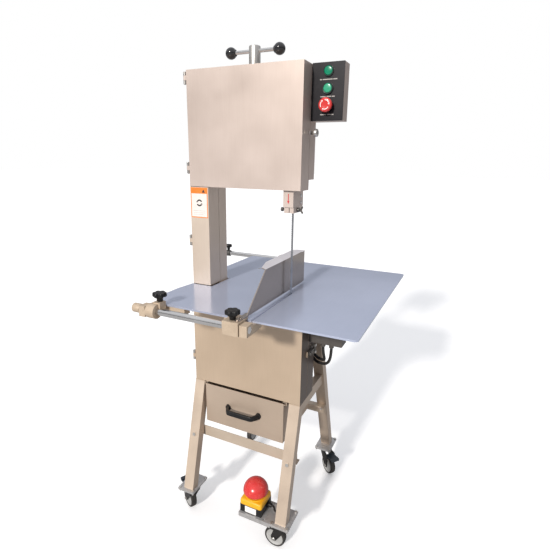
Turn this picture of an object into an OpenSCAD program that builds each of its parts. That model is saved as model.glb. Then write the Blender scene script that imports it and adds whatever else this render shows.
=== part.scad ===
// Floor standing butcher's band saw for bone, on a stand with four braked casters.
// Frame: +Z up, +X to the operator's right, the operator stands on the -Y side.
// Origin: centre of the bounding box at floor level.

/* [Head and column] */
// Width of the head and its door
head_w = 380; // [370:1:390]
// Underside of the head door above the floor
head_z0 = 1197; // [1190:1:1200]
// Top of the head above the floor
head_z1 = 1536; // [1530:1:1545]
// Depth of the hinged door pans
pan_d = 58.5; // [58:0.5:59.5]
// Back of the head and the column
back_y = 106; // [104:1:112]
// Width of the column
col_w = 70; // [66:1:72]
// Sheet thickness of the casings and doors
sheet = 2; // [1.5:0.5:2.5]

/* [Body] */
// Left side of the body
body_x0 = -4; // [-6:1:-3]
// Right side of the body
body_x1 = 400; // [396:1:402]
// Underside of the body
body_z0 = 518; // [514:1:520]
// Top of the body door
body_door_z1 = 834; // [833:1:835]
// Back of the body casing
body_back = 115; // [112:1:118]

/* [Table] */
// Height of the working surface
table_z = 875; // [874:1:880]
// Thickness of the table plate
table_t = 5; // [4:1:5]
// Front edge of the table
table_y0 = -215; // [-220:1:-210]
// Back edge of the table
table_y1 = 468; // [455:1:470]
// Right edge of the table
table_x1 = 622; // [600:1:640]

/* [Blade and wheels] */
// Radius of the wheel rims
rim_r = 149.5; // [149:0.1:149.5]
// Height of the upper wheel's centre
wheel_hi = 1366; // [1364:1:1367]
// Height of the lower wheel's centre
wheel_lo = 676; // [675:1:677]
// Width of the blade
blade_w = 16; // [13:1:16]
// Thickness of the blade
blade_t = 0.8; // [0.5:0.1:0.8]

/* [Stand] */
// Width of the leg tube
leg_w = 38; // [34:1:40]
// Depth of the leg tube
leg_d = 32; // [28:1:34]
// Top face of the foot plates
foot_z = 122; // [120:1:124]
// Diameter of the caster wheels
caster_dia = 75; // [73:1:75]
// Wall of the leg tubes
tube_t = 2; // [1.5:0.5:3]

/* [Fence] */
// Right face of the fence
fence_x = 326; // [322:1:328]
// Top of the fence
fence_top = 987; // [970:1:988]
// Diameter of the front rod
rod_dia = 20; // [18:1:20]

/* [Hidden] */
$fn = 48;
eps = 0.01;
// position of the design axes in the published frame
off_x = -222;
off_y = -118.5;
wheel_x = 190;
blade_y0 = 36;
run_l = wheel_x - rim_r - 0.1 - blade_t/2;
run_r = wheel_x + rim_r + 0.1 + blade_t/2;
rod_y = -248;
rod_z = 863;
rear_rod_y = 487;
rear_rod_z = 871;
leg_top = body_z0 - 4;
rear_hi = body_back + leg_d/2;
hinge_x = -5.5;
hinge_y = 5;
leg_xl = body_x0;
leg_xr = body_x1 - leg_w;
foot_cxl = 10;
foot_cxr = 381;
foot_cyf = -62;
foot_cyr = 376;
cast_r = caster_dia/2;
cast_top = 113;
panel_x = 427.5;
draw_x0 = 42;
draw_x1 = 345;
draw_z0 = 362;
draw_z1 = 511;
steel = [0.80, 0.75, 0.69];
bright = [0.82, 0.82, 0.84];
dark = [0.10, 0.10, 0.11];

// box from corner to corner
module bx(x0, x1, y0, y1, z0, z1) translate([x0, y0, z0]) cube([x1-x0, y1-y0, z1-z0]);
// cylinders along each axis
module cyl_x(x0, x1, y, z, d) translate([x0, y, z]) rotate([0, 90, 0]) cylinder(d=d, h=x1-x0);
module cyl_y(y0, y1, x, z, d) translate([x, y0, z]) rotate([-90, 0, 0]) cylinder(d=d, h=y1-y0);
module cyl_z(z0, z1, x, y, d) translate([x, y, z0]) cylinder(d=d, h=z1-z0);
// a profile drawn in Y and Z, extruded along X
module yz(x0, x1, pts) translate([x0, 0, 0]) rotate([90, 0, 90]) linear_extrude(x1-x0) polygon(pts);
// a profile drawn in X and Z, extruded along Y
module xz(y0, y1) translate([0, y1, 0]) rotate([90, 0, 0]) linear_extrude(y1-y0) children();
module at() translate([off_x, off_y, 0]) children();

// ---------------------------------------------------------------- casings
// back half of the head: backing plate, box and the full-depth left wall
module head_casing() at() color(steel) difference() {
  union() {
    difference() {
      bx(0, head_w, 60, back_y, head_z0+29, head_z1);
      bx(sheet, head_w-sheet, 63, back_y-sheet, head_z0+29+sheet, head_z1-sheet);
    }
    bx(0, head_w, 60, 63, head_z0, head_z1);
    bx(0, sheet, 3, 61, head_z0, head_z1);
    // guide cheeks for the wheel carriage
    bx(156, 162, 63-eps, 100, 1300, 1440);
    bx(218, 224, 63-eps, 100, 1300, 1440);
    // clamp for the guard bar
    bx(330, 358, 63-eps, 86, 1230, 1270);
  }
  bx(176, 204, 55, 64, 1318, 1392);
  // hole for the tension screw
  cyl_z(head_z1-10, head_z1+5, wheel_x, 83, 12.1);
  // bore of the guard clamp and its way through the casing floor
  bx(337.6, 350.4, 65.6, 78.4, head_z0+20, 1290);
  bx(309, 371, 59, 92, head_z0-1, head_z0+29+eps);
  // way into the column
  bx(10, col_w-10, 70, 98, head_z0+20, head_z0+40);
}
module column_casing() at() color(steel) difference() {
  union() {
    difference() {
      bx(0, col_w, 63, back_y-1, table_z-table_t, head_z0+29);
      bx(sheet, col_w-sheet, 63+sheet, back_y-1-sheet, table_z-table_t-1, head_z0+30);
    }
    bx(0, col_w, 60, 63+eps, table_z-table_t, head_z0);
    bx(0, sheet, 3, 61, table_z-table_t, head_z0);
  }
}
// back half of the body with the fixed bridge above the door that carries the table
module body_casing() at() color(steel) difference() {
  union() {
    difference() {
      bx(body_x0, body_x1, 60, body_back, body_z0, table_z-table_t);
      bx(body_x0+sheet, body_x1-sheet, 63, body_back-sheet, body_z0+sheet, table_z-table_t-sheet);
    }
    bx(body_x0, body_x0+sheet, 3, 61, body_z0-1, table_z-table_t);
    // sole plate that stands on the front legs, just below the door
    bx(body_x0, body_x1, 14, body_back, leg_top, body_z0-0.5);
    bx(body_x0, body_x0+leg_w, 0, 15, leg_top, body_z0-0.5);
    bx(body_x1-leg_w, body_x1, 0, 15, leg_top, body_z0-0.5);
    bx(body_x0, body_x1, 60, body_back, body_z0-1, body_z0+eps);
    // bridge over the door
    difference() {
      bx(body_x0, body_x1, 0, 61, body_door_z1+2, table_z-table_t);
      bx(body_x0+sheet, body_x1-sheet, sheet, 60+eps, body_door_z1+1, table_z-table_t-sheet);
    }
  }
  // blade runs through the bridge
  bx(25, 58, 20, 59.9, body_door_z1, table_z);
  bx(322, 358, 20, 59.9, body_door_z1, table_z);
  // way up into the column
  bx(10, col_w-10, 66, 100, table_z-table_t-5, table_z);
  // motor shaft
  cyl_y(55, body_back+5, wheel_x, wheel_lo, 50);
}

// hinge knuckle, three on a pin: the middle one belongs to the door
module knuckle(z0, z1) difference() {
  union() {
    cyl_z(z0, z1, hinge_x, hinge_y, 9.5);
    children();
  }
  cyl_z(z0-1, z1+1, hinge_x, hinge_y, 5.1);
}
module door_knuckle(z0, z1, xl) knuckle(z0, z1) bx(hinge_x-1, xl, 0.5, 2.5, z0, z1);

module head_door() at() color(steel) union() {
  difference() {
    bx(2.5, head_w, 0, pan_d, head_z0, head_z1);
    bx(1, head_w-sheet, sheet, pan_d+1, head_z0+sheet, head_z1-sheet);
    // mouths for the return run and for the guard with the cutting run
    bx(1, 66, 15, pan_d+1, head_z0-1, head_z0+5);
    bx(310, 370, 8, pan_d+1, head_z0-1, head_z0+5);
    // latch stem
    cyl_x(head_w-5, head_w+1, 52, 1356, 10.3);
  }
  door_knuckle(1507.3, 1520.7, 3);
  door_knuckle(1246.3, 1259.7, 3);
}
module column_door() at() color(steel) union() {
  difference() {
    bx(2.5, col_w, 0, pan_d, table_z+1.5, head_z0-1.5);
    bx(1, col_w-sheet, sheet, pan_d+1, table_z+0.5, head_z0);
  }
  door_knuckle(1015.3, 1028.7, 3);
}
module body_door() at() color(steel) union() {
  difference() {
    bx(body_x0+2.5, body_x1, 0, pan_d, body_z0, body_door_z1);
    bx(body_x0+1, body_x1-sheet, sheet, pan_d+1, body_z0+sheet, body_door_z1-sheet);
    bx(body_x0+1, 66, 15, pan_d+1, body_door_z1-5, body_door_z1+1);
    bx(318, 362, 15, pan_d+1, body_door_z1-5, body_door_z1+1);
  }
  translate([body_x0, 0, 0]) door_knuckle(601.3, 614.7, 3);
  translate([body_x0, 0, 0]) door_knuckle(781.3, 794.7, 3);
  // striker of the side latch
  difference() {
    bx(body_x1-eps, body_x1+6, 38, 46, 672, 690);
    bx(body_x1+2, body_x1+7, 42, 47, 667, 695);
  }
}
// pin with the fixed knuckles above and below each door knuckle, and their leaf on the side of the casing
module pin_group(z, dx) translate([dx, 0, 0]) {
  cyl_z(z+7, z+17, hinge_x, hinge_y, 9.5);
  cyl_z(z-17, z-7, hinge_x, hinge_y, 9.5);
  bx(hinge_x-1, 0, 6.5, 9.5, z+7, z+17);
  bx(hinge_x-1, 0, 6.5, 9.5, z-17, z-7);
  bx(-1.8, 0, 8.6, 30, z-17, z+17);
  cyl_z(z-18, z+18, hinge_x, hinge_y, 5);
}
module hinge_pins() at() color(bright) {
  // pin and ears of the side latch
  cyl_z(667, 695, body_x1+9, 98, 5);
  bx(body_x1, body_x1+13, 93, 103, 665, 672.6);
  bx(body_x1, body_x1+13, 93, 103, 689.4, 697);
  pin_group(1514, 0);
  pin_group(1253, 0);
  pin_group(1022, 0);
  pin_group(608, body_x0);
  pin_group(788, body_x0);
}
// round knob that turns the head door's latch cam
module door_latch_knob() at() color(bright) {
  cyl_x(head_w+0.4, head_w+14, 52, 1356, 14);
  cyl_x(head_w+13.9, head_w+26, 52, 1356, 22);
  cyl_x(head_w-14, head_w+0.5, 52, 1356, 10.1);
  bx(head_w-13, head_w-9, 48, 56, 1352, 1384);
}
// draw latch across the seam of the body door
module toggle_latch() at() color(bright) {
  difference() {
    union() {
      cyl_z(673, 689, body_x1+9, 98, 9);
      bx(body_x1+7, body_x1+9.5, 52, 98, 675, 687);
      bx(body_x1+8.5, body_x1+14, 44, 54, 675, 687);
    }
    cyl_z(660, 700, body_x1+9, 98, 5.1);
  }
  // pull wire with its hook
  bx(body_x1+2.5, body_x1+5.5, 42.5, 95, 675, 677.5);
  bx(body_x1+2.5, body_x1+5.5, 42.5, 95, 684.5, 687);
  bx(body_x1+2.5, body_x1+5.5, 42.5, 45.5, 675, 687);
  bx(body_x1+2.5, body_x1+8, 92, 95, 675, 687);
}

// ---------------------------------------------------------------- table
module table_outline() difference() {
  union() {
    polygon([[27, table_y0], [table_x1-12, table_y0], [table_x1, table_y0+12], [table_x1, table_y1-12], [table_x1-12, table_y1],
      [-13, table_y1], [-25, table_y1-12], [-25, 112], [76, 112], [76, -1], [-1, -1], [-10, -70], [-10, -150]]);
    translate([table_x1-12, table_y0+12]) circle(r=12);
    translate([table_x1-12, table_y1-12]) circle(r=12);
    translate([-13, table_y1-12]) circle(r=12);
  }
  // slot that lets the blade come out to the front
  translate([run_r-1.5, table_y0-1]) square([3, 26-table_y0]);
  // seat of the insert
  translate([328, 24]) square([24, 48]);
}
module table_top() at() color([0.72, 0.76, 0.83]) translate([0, 0, table_z-table_t]) linear_extrude(table_t) table_outline();
module table_insert() at() color([0.95, 0.95, 0.93]) difference() {
  bx(328.2, 351.8, 24.2, 71.8, table_z-table_t, table_z-0.3);
  bx(run_r-1.5, run_r+1.5, 20, 56, table_z-10, table_z+5);
}

// ---------------------------------------------------------------- stand
// sloping square tube between two heights, with its middle at y_hi and y_lo
module slope_tube(x0, x1, y_hi, z_hi, y_lo, z_lo, d) difference() {
  yz(x0, x1, [[y_lo-d/2, z_lo], [y_lo+d/2, z_lo], [y_hi+d/2, z_hi], [y_hi-d/2, z_hi]]);
  yz(x0+tube_t, x1-tube_t, [[y_lo-d/2+tube_t, z_lo-1], [y_lo+d/2-tube_t, z_lo-1], [y_hi+d/2-tube_t, z_hi+1], [y_hi-d/2+tube_t, z_hi+1]]);
}
// welded foot plate, and the caster's top plate with its king pin below it
module foot(cx, cy) {
  difference() {
    bx(cx-33, cx+33, cy-45, cy+45, foot_z-6, foot_z);
    for (sx = [-1, 1], sy = [-1, 1]) cyl_z(foot_z-7, foot_z+1, cx+sx*27, cy+sy*39.5, 6.4);
  }
  difference() {
    bx(cx-32, cx+32, cy-44, cy+44, cast_top, foot_z-6);
    for (sx = [-1, 1], sy = [-1, 1]) cyl_z(cast_top-1, foot_z-5, cx+sx*27, cy+sy*39.5, 6.4);
  }
  cyl_z(98, cast_top+eps, cx, cy, 12);
  cyl_z(92, 98+eps, cx, cy, 18);
}
module front_leg(x0, cx) { slope_tube(x0, x0+leg_w, leg_d/2, leg_top, -80, foot_z, leg_d); foot(cx, foot_cyf); }
module rear_leg(x0, cx) { slope_tube(x0, x0+leg_w, rear_hi, table_z-table_t, 384, foot_z, leg_d); foot(cx, foot_cyr); }
module front_left_leg() at() color(steel) front_leg(leg_xl, foot_cxl);
module front_right_leg() at() color(steel) difference() {
  front_leg(leg_xr, foot_cxr);
  // entry of the foot switch lead
  cyl_x(leg_xr-5, leg_xr+5, -72, 144, 8);
}
module rear_left_leg() at() color(steel) rear_leg(leg_xl, foot_cxl);
module rear_right_leg() at() color(steel) rear_leg(leg_xr, foot_cxr);
// angle bars bolted to the inner faces of the legs
function front_leg_y(z) = -80 + (80+leg_d/2)*(z-foot_z)/(leg_top-foot_z);
function rear_leg_y(z) = 384 - (384-rear_hi)*(z-foot_z)/(table_z-table_t-foot_z);
module cross_bars() at() color(steel) {
  yf = front_leg_y(341) + leg_d/2;
  yr = rear_leg_y(360) - leg_d/2;
  bx(leg_xl, body_x1, yf, yf+3, 301, 341);
  bx(leg_xl, body_x1, yf+2.9, yf+26, 301, 304);
  bx(leg_xl, body_x1, yr-3, yr, 320, 360);
  bx(leg_xl, body_x1, yr-26, yr-2.9, 357, 360);
}
module side_rail(x0) difference() {
  yz(x0, x0+24, [[front_leg_y(472)+leg_d/2, 472], [rear_leg_y(472)-leg_d/2, 472], [rear_leg_y(512)-leg_d/2, 512], [front_leg_y(512)+leg_d/2, 512]]);
  bx(x0+2, x0+22, -50, 350, 474, 510);
}
module side_rails() at() color(steel) { side_rail(leg_xl+7); side_rail(leg_xr+7); }

// ---------------------------------------------------------------- casters
// fork: swivel cup on the king pin, two cheeks down to the axle
module fork_local() difference() {
  union() {
    cyl_z(100, cast_top-0.6, 0, 0, 54);
    for (s = [-1, 1]) {
      translate([0, s*15.5 + 1.5, 0]) rotate([90, 0, 0]) linear_extrude(3)
        polygon([[-22, 101], [22, 101], [41, 46], [38, 31], [26, 29], [20, 36]]);
      translate([30, s*15.5 - 1.5, cast_r]) rotate([-90, 0, 0]) cylinder(r=9, h=3);
    }
    cyl_y(-20, 20, 30, cast_r, 8);
    bx(-22, 22, -17, -14, 97, 101);
    bx(-22, 22, 14, 17, 97, 101);
    // ears of the brake pivot
    bx(22, 42, -20, -17, 76, 92);
    bx(22, 42, 17, 20, 76, 92);
    bx(20, 30, -20, -14, 78, 92);
    bx(20, 30, 14, 20, 78, 92);
  }
  cyl_z(90, 120, 0, 0, 12.1);
  cyl_z(91, 100+eps, 0, 0, 22);
  cyl_y(-25, 25, 37, 84, 5.1);
}
module wheel_local() difference() {
  union() {
    cyl_y(-11, 11, 30, cast_r, caster_dia);
    cyl_y(-13.4, 13.4, 30, cast_r, 22);
  }
  cyl_y(-20, 20, 30, cast_r, 8.1);
  for (s = [-1, 1]) translate([30, s*10.5, cast_r]) rotate([90, 0, 0]) difference() {
    translate([0, 0, -2.5]) cylinder(r=27, h=5);
    translate([0, 0, -4]) cylinder(r=12, h=8);
  }
}
// brake pedal on its cross pin
module brake_local() {
  cyl_y(-21, 21, 37, 84, 5);
  difference() {
    union() {
      bx(34, 78, -16.6, 16.6, 86, 91);
      bx(66, 80, -16.6, 16.6, 84, 94);
      cyl_y(-16.6, 16.6, 37, 84, 11);
    }
    cyl_y(-25, 25, 37, 84, 4.9);
  }
}
module place_caster(cx, cy, a) translate([cx, cy, 0]) rotate([0, 0, a]) children();
fl_a = 150; fr_a = 180; rl_a = 90; rr_a = -40;
module fork(cx, cy, a) at() color(dark) place_caster(cx, cy, a) fork_local();
module cwheel(cx, cy, a) at() color([0.45, 0.46, 0.47]) place_caster(cx, cy, a) wheel_local();
module brake(cx, cy, a) at() color([0.08, 0.09, 0.12]) place_caster(cx, cy, a) brake_local();

// ---------------------------------------------------------------- foot switch
fs_x0 = 231; fs_x1 = 313; fs_y0 = -99; fs_y1 = -17;
fs_cx = (fs_x0+fs_x1)/2; fs_cy = (fs_y0+fs_y1)/2;
module foot_switch_tray() at() color(steel) {
  difference() {
    bx(230, foot_cxr-33, -106, -14, foot_z-3, foot_z);
    cyl_z(foot_z-5, foot_z+1, 323, -97, 6.5);
  }
  bx(230, foot_cxr-33, -106, -103, foot_z-16, foot_z-3+eps);
  bx(foot_cxr-60, foot_cxr-33, -100, -30, foot_z-6, foot_z-3+eps);
}
module foot_switch_base() at() color(dark) {
  difference() {
    bx(fs_x0+1.5, fs_x1-1.5, fs_y0+1.5, fs_y1-1.5, foot_z, foot_z+30);
    bx(fs_x0+5, fs_x1-5, fs_y0+5, fs_y1-5, foot_z+3, foot_z+31);
    cyl_x(fs_x1-8, fs_x1+1, -46, foot_z+15, 14);
  }
  // cable gland
  difference() {
    union() {
      cyl_x(fs_x1-6, fs_x1+6, -46, foot_z+15, 13.8);
      translate([fs_x1-1.6, -46, foot_z+15]) rotate([0, 90, 0]) cylinder(d=22, h=5, $fn=6);
      cyl_x(fs_x1+5, fs_x1+14, -46, foot_z+15, 16);
    }
    cyl_x(fs_x1-8, fs_x1+20, -46, foot_z+15, 7.2);
  }
}
module foot_switch_cover() at() color([0.98, 0.79, 0.16]) difference() {
  union() {
    bx(fs_x0, fs_x1, fs_y0, fs_y1, foot_z+30, foot_z+50);
    cyl_z(foot_z+49, foot_z+54, fs_cx, fs_cy, 74);
  }
  bx(fs_x0+4, fs_x1-4, fs_y0+4, fs_y1-4, foot_z+29, foot_z+46);
  cyl_z(foot_z+40, foot_z+60, fs_cx, fs_cy, 30.4);
}
module foot_stop_mushroom() at() color([0.90, 0.16, 0.15]) translate([fs_cx, fs_cy, 0]) rotate_extrude()
  polygon(concat([[0, foot_z+34], [15, foot_z+34], [15, foot_z+63], [39, foot_z+63], [42.5, foot_z+66], [43, foot_z+70]],
    [for (i = [1:12]) let(a = i*7.5) [43*cos(a), foot_z+76+36.26*sin(a)-6*cos(a)]]));

// ---------------------------------------------------------------- control box
module control_box() at() color(steel) difference() {
  bx(head_w, 472, 64, back_y, 1388, 1538);
  bx(head_w+2, 470, 63, back_y-2, 1390, 1536);
}
module btn_hole(z) cyl_y(50, 80, panel_x, z, 24.6);
module ring(y0, y1, z, od, id) difference() { cyl_y(y0, y1, panel_x, z, od); cyl_y(y0-1, y1+1, panel_x, z, id); }
z_b1 = 1516; z_b2 = 1472; z_b3 = 1428;
module control_panel() at() color(dark) {
  difference() {
    bx(head_w+0.6, 472, 61, 64, 1388, 1538);
    btn_hole(z_b1); btn_hole(z_b2); btn_hole(z_b3);
  }
  ring(57, 61, z_b1, 29, 24.6);
  ring(56, 61, z_b2, 30, 24.6);
  ring(55, 61, z_b3, 32, 24.6);
  // switch bodies behind the panel
  for (z = [z_b1, z_b2, z_b3]) difference() {
    bx(panel_x-15, panel_x+15, 64-eps, 100, z-15, z+15);
    cyl_y(60, 67, panel_x, z, 24.6);
    cyl_y(66, 94, panel_x, z, 22.2);
  }
}
module start_button() at() color([0.0, 0.55, 0.38]) { cyl_y(55.5, 62, panel_x, z_b1, 24); cyl_y(61.9, 84, panel_x, z_b1, 22); }
module second_button() at() color([0.20, 0.66, 0.45]) { cyl_y(54, 62, panel_x, z_b2, 24); cyl_y(61.9, 84, panel_x, z_b2, 22); }
module panel_stop_button() at() color([0.90, 0.16, 0.15]) {
  cyl_y(46, 85, panel_x, z_b3, 22);
  cyl_y(40, 48, panel_x, z_b3, 38);
  translate([panel_x, 40+eps, z_b3]) rotate([90, 0, 0]) cylinder(r1=19, r2=15.5, h=3);
}

// ---------------------------------------------------------------- wheels, blade and drive
module wheel_disc(z, y0) {
  difference() {
    union() {
      cyl_y(y0, y0+20, wheel_x, z, 2*rim_r);
      cyl_y(y0+19.9, y0+22, wheel_x, z, 2*rim_r+2.6);
    }
    cyl_y(y0-1, y0+9, wheel_x, z, 2*rim_r-20);
    cyl_y(y0+15, y0+30, wheel_x, z, 2*rim_r-20);
    for (a = [0:60:300]) rotate_about(z, a) cyl_y(y0-5, y0+30, wheel_x+92, z, 52);
    children();
  }
}
module rotate_about(z, a) translate([wheel_x, 0, z]) rotate([0, a, 0]) translate([-wheel_x, 0, -z]) children();
module upper_wheel() at() color([0.62, 0.63, 0.64]) difference() {
  union() {
    wheel_disc(wheel_hi, 34);
    cyl_y(28, 58, wheel_x, wheel_hi, 56);
  }
  cyl_y(20, 60, wheel_x, wheel_hi, 20.1);
}
// block that slides in the head on its guide cheeks, with the fixed wheel shaft
module wheel_carriage() at() color(bright) difference() {
  union() {
    bx(162.4, 217.6, 65, 101, 1336, 1396);
    cyl_y(24, 65+eps, wheel_x, wheel_hi, 20);
    cyl_y(58.4, 65+eps, wheel_x, wheel_hi, 24);
    cyl_y(20, 24+eps, wheel_x, wheel_hi, 28);
  }
  cyl_z(1330, 1400, wheel_x, 83, 12.1);
}
// screw, hub, cross arm and two ball grips
module tension_handle() at() color(bright) {
  difference() {
    union() {
      cyl_z(1320, head_z1+1, wheel_x, 83, 12);
      cyl_z(head_z1+0.5, head_z1+10, wheel_x, 83, 40);
      cyl_z(head_z1+9.9, head_z1+66, wheel_x, 83, 34);
      cyl_x(wheel_x-66, wheel_x+66, 83, 1588, 11);
    }
  }
  for (s = [-1, 1]) difference() {
    translate([wheel_x+s*80, 83, 1588]) sphere(d=34);
    cyl_x(wheel_x-66.2, wheel_x+66.2, 83, 1588, 11);
  }
}
module lower_wheel() at() color([0.62, 0.63, 0.64]) {
  wheel_disc(wheel_lo, 34) cyl_y(20, 60, wheel_x, wheel_lo, 40);
  cyl_y(28, 58.5, wheel_x, wheel_lo, 40.02);
  cyl_y(58.4, 205, wheel_x, wheel_lo, 24);
}
module motor() at() color([0.30, 0.32, 0.35]) {
  difference() {
    union() {
      cyl_y(body_back+0.2, body_back+12, wheel_x, wheel_lo, 190);
      cyl_y(body_back+11, 300, wheel_x, wheel_lo, 140);
      for (i = [0:11]) rotate_about(wheel_lo, i*30+15) bx(wheel_x+68, wheel_x+76, 140, 290, wheel_lo-2, wheel_lo+2);
      // terminal housing on the side, with two glands
      bx(wheel_x+55, wheel_x+92, 182, 246, wheel_lo-30, wheel_lo+30);
      for (dz = [-14, 14]) cyl_x(wheel_x+91.9, wheel_x+102, 214, wheel_lo+dz, 18);
    }
    for (dz = [-14, 14]) cyl_x(wheel_x+84, wheel_x+110, 214, wheel_lo+dz, 10.4);
    cyl_y(body_back-5, 210, wheel_x, wheel_lo, 24.1);
    cyl_y(body_back-5, body_back+9, wheel_x, wheel_lo, 60);
  }
  // fan cowl
  difference() {
    cyl_y(299.9, 352, wheel_x, wheel_lo, 148);
    cyl_y(302, 349, wheel_x, wheel_lo, 144);
    for (a = [0:30:330]) rotate_about(wheel_lo, a) bx(wheel_x+22, wheel_x+60, 340, 360, wheel_lo-3, wheel_lo+3);
  }
}
// closed band around both wheels
module band(r) union() {
  translate([wheel_x, wheel_hi]) circle(r=r, $fn=180);
  translate([wheel_x, wheel_lo]) circle(r=r, $fn=180);
  translate([wheel_x-r, wheel_lo]) square([2*r, wheel_hi-wheel_lo]);
}
module saw_blade() at() color([0.75, 0.76, 0.78]) xz(blade_y0, blade_y0+blade_w) difference() {
  band(rim_r+0.1+blade_t);
  band(rim_r+0.1);
}
// upper guard: sheet channel, guide block with its slit, and the square bar it rides on
module blade_guard() at() color(steel) {
  // sheet channel, wide below the head and narrow where it goes up inside the door
  difference() {
    union() {
      bx(322, 354, 12, 88, 1148, head_z0);
      bx(322, 354, 12, 57, head_z0-eps, 1335);
    }
    bx(321, 352, 14, 89, 1147, 1340);
  }
  difference() {
    bx(324, 353.9, 16, 86, 1131, 1148.01);
    bx(run_r-1.2, run_r+1.2, 10, 56, 1120, 1160);
    cyl_x(348, 360, 46, 1139, 8.1);
  }
  bx(338, 350, 66, 78, 1148-eps, 1490);
  // thumb screw on the left of the guide block
  cyl_x(315, 324.1, 30, 1140, 7);
  cyl_x(309, 315.1, 30, 1140, 12);
  // two screws in the side of the channel
  for (z = [1160, 1180]) cyl_x(354-eps, 356, 70, z, 8);
}
module guide_wing_bolt() at() color(bright) {
  cyl_x(349, 362, 46, 1139, 8);
  cyl_x(354.2, 360, 46, 1139, 14);
  bx(359.9, 372, 44, 48, 1127, 1151);
}

// ---------------------------------------------------------------- rails and fence
module front_rail() at() color(bright) {
  cyl_x(-4, 352, rod_y, rod_z, rod_dia);
  difference() {
    cyl_x(-28, -1.5, rod_y, rod_z, 27);
    cyl_x(-4.01, 5, rod_y, rod_z, rod_dia);
  }
}
// rear rod with a clamp ring and its grip at the free end
module rear_rail() at() color(bright) {
  cyl_x(-178, 178, rear_rod_y, rear_rod_z, 18);
  difference() {
    union() {
      cyl_x(-166, -146, rear_rod_y, rear_rod_z, 27);
      cyl_z(rear_rod_z+11, rear_rod_z+20, -156, rear_rod_y, 12);
    }
    cyl_x(-170, -140, rear_rod_y, rear_rod_z, 18);
  }
  cyl_z(rear_rod_z+20-eps, rear_rod_z+27, -156, rear_rod_y, 15);
  cyl_z(rear_rod_z+27-eps, rear_rod_z+40, -156, rear_rod_y, 30);
}
module front_bracket(x0, xa, xb) difference() {
  union() {
    bx(x0, x0+22, rod_y-16, rod_y+16, rod_z-17, rod_z+14);
    bx(x0, x0+22, rod_y+15, table_y0+12, rod_z-17, table_z-table_t-0.2);
    bx(xa, xb, table_y0+8, table_y0+34, table_z-table_t-22, table_z-table_t);
  }
  cyl_x(x0-1, x0+23, rod_y, rod_z, rod_dia);
}
module rear_bracket(x0) difference() {
  union() {
    bx(x0, x0+20, rear_rod_y-16, rear_rod_y+19, rear_rod_z-16, rear_rod_z+16);
    bx(x0, x0+20, table_y1-40, rear_rod_y-15, rear_rod_z-16, table_z-table_t);
  }
  cyl_x(x0-1, x0+21, rear_rod_y, rear_rod_z, 18);
  bx(x0-1, x0+21, table_y1-50, table_y1+0.5, table_z-table_t-eps*0, table_z+30);
}
module rail_brackets() at() color([0.85, 0.83, 0.78]) {
  front_bracket(2, 2, 118);
  front_bracket(330, 250, 352);
  rear_bracket(98);
  rear_bracket(156);
}
// star grip with its neck and screw, screw end at z = 0
module star_grip(h) {
  cyl_z(0, h, 0, 0, 8);
  translate([0, 0, h-eps]) cylinder(d1=15, d2=19, h=14);
  translate([0, 0, h+14-2*eps]) difference() {
    cylinder(d=41, h=13);
    for (i = [0:5]) rotate([0, 0, i*60+30]) translate([25.5, 0, -1]) cylinder(r=8, h=16);
  }
}
// split ring, pinched by the knob's screw through its two ears
module stop_collar() at() color(bright) difference() {
  union() {
    cyl_x(28, 56, rod_y, rod_z, 42);
    bx(38, 62, rod_y+4, rod_y+31, rod_z-14, rod_z+24);
  }
  cyl_x(20, 70, rod_y, rod_z, rod_dia+0.1);
  bx(20, 70, rod_y+8, rod_y+40, rod_z-0.8, rod_z+0.8);
  cyl_z(rod_z-30, rod_z+30, 50, rod_y+20, 8.1);
}
module stop_knob() at() color(dark) translate([50, rod_y+20, rod_z-11.8]) star_grip(36);
module fence_block() at() color([0.80, 0.77, 0.70]) difference() {
  union() {
    bx(280, 328, rod_y-19, rod_y+20, rod_z-18, rod_z+20);
    bx(282, 326, rod_y+19, table_y0+6, table_z+0.8, rod_z+20);
  }
  cyl_x(270, 340, rod_y, rod_z, rod_dia+0.1);
  cyl_z(rod_z+5, rod_z+30, 302, rod_y, 8.1);
}
module fence_knob() at() color(dark) translate([302, rod_y, rod_z+rod_dia/2+0.2]) star_grip(10.2);
// folded sheet: tall face with a sloping front edge, top flange, and a tab screwed to the block
module fence() at() color([0.62, 0.60, 0.58]) {
  z0 = table_z+4;
  yz(fence_x-3, fence_x, [[table_y0-2, z0+4.5], [170, z0], [190, z0+2], [190, fence_top], [table_y0+110, fence_top]]);
  translate([0, 0, fence_top-3]) linear_extrude(3) union() {
    polygon([[fence_x-1, table_y0+110], [fence_x-1, 190], [fence_x-18, 190], [fence_x-40, 168], [fence_x-40, table_y0+190], [fence_x-20, table_y0+122]]);
    translate([fence_x-18, 168]) circle(r=22);
  }
  bx(fence_x-14, fence_x, rod_y-12, table_y0+20, rod_z+20, rod_z+23);
  for (y = [rod_y-4, rod_y+12]) cyl_z(rod_z+23-eps, rod_z+26.5, fence_x-7, y, 8);
}

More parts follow.
